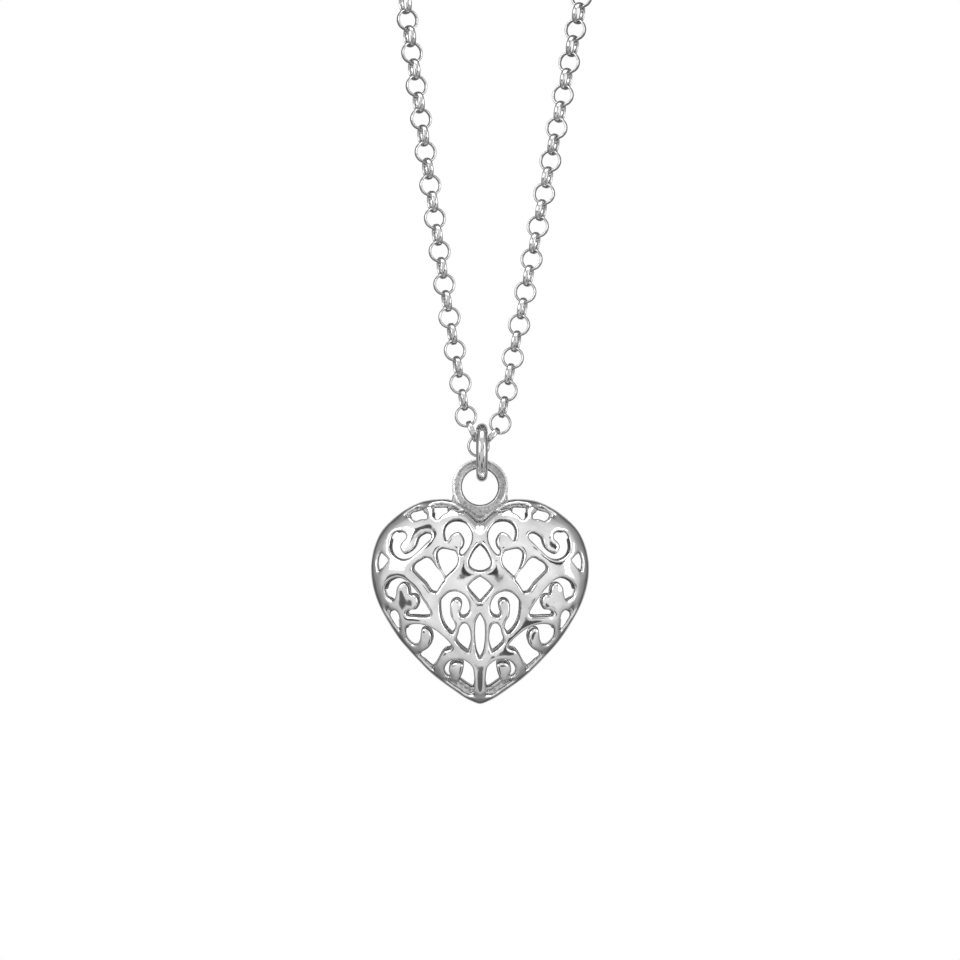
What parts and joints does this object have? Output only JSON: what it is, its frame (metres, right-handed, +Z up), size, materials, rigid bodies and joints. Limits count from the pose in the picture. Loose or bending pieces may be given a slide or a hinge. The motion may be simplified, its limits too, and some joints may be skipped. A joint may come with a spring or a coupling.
{
  "type": "openwork heart pendant necklace",
  "caption": "Puffed openwork silver heart pendant on a cast loop and jump ring, hanging from a fine rolo chain that a spring ring clasp closes.",
  "frame": {"origin": "axis of the round peg that the chain hangs over, at the middle of the chain's depth", "axes": "+Z up, +Y towards the back of the heart, +X to the right of a viewer who faces the heart"},
  "size_m": [0.0225, 0.008, 0.0841],
  "materials": {
    "polished_silver": "sterling silver, cast and high polished, soft orange peel in the reflections",
    "cast_silver": "cast silver, sandy grain between polished edges, slightly oxidised in the recess",
    "chain_silver": "polished silver wire, each link soldered",
    "spring_steel": "bright drawn spring wire"
  },
  "bodies": {
    "chain_top": {"left_chain_end": "chain_silver", "right_chain_end": "chain_silver", "left_end_ring": "chain_silver", "right_end_ring": "chain_silver", "clasp_body": "chain_silver", "clasp_eye": "chain_silver", "clasp_spring": "spring_steel"},
    "chain_upper": {"left_chain_upper": "chain_silver", "right_chain_upper": "chain_silver"},
    "chain_middle": {"left_chain_middle": "chain_silver", "right_chain_middle": "chain_silver"},
    "chain_lower": {"left_chain_lower": "chain_silver", "right_chain_lower": "chain_silver", "left_hub_link": "chain_silver", "right_hub_link": "chain_silver", "centre_link": "chain_silver"},
    "ring": {"jump_ring": "chain_silver"},
    "pendant": {"front_shell": "polished_silver", "back_shell": "polished_silver", "hanging_loop": "cast_silver"},
    "bolt": {"clasp_bolt": "chain_silver"}
  },
  "joints": [
    {"name": "chain_upper_swing", "type": "hinge", "parent": "chain_top", "child": "chain_upper", "pos_m": [-0.00893, 0, -0.0025], "axis": [0.9984, 0, -0.0574], "range_deg": [-25, 25]},
    {"name": "chain_middle_swing", "type": "hinge", "parent": "chain_upper", "child": "chain_middle", "pos_m": [-0.00713, 0, -0.01574], "axis": [0.9977, 0, -0.0672], "range_deg": [-25, 25]},
    {"name": "chain_lower_swing", "type": "hinge", "parent": "chain_middle", "child": "chain_lower", "pos_m": [-0.00503, 0, -0.03062], "axis": [0.9957, 0, -0.0923], "range_deg": [-25, 25]},
    {"name": "ring_swing", "type": "hinge", "parent": "chain_lower", "child": "ring", "pos_m": [-0.00115, 0, -0.04824], "axis": [1, 0, 0], "range_deg": [-60, 60]},
    {"name": "heart_swing", "type": "hinge", "parent": "ring", "child": "pendant", "pos_m": [-0.00134, 0, -0.0506], "axis": [0, 1, 0], "range_deg": [-30, 30]},
    {"name": "clasp_trigger", "type": "hinge", "parent": "chain_top", "child": "bolt", "pos_m": [0.00022, 0, 0.009], "axis": [0, 0, 1], "range_deg": [0, 53], "stiffness_Nm_per_rad": 0.001, "springref_deg": -17.19, "deforming": ["clasp_spring"]}
  ]
}
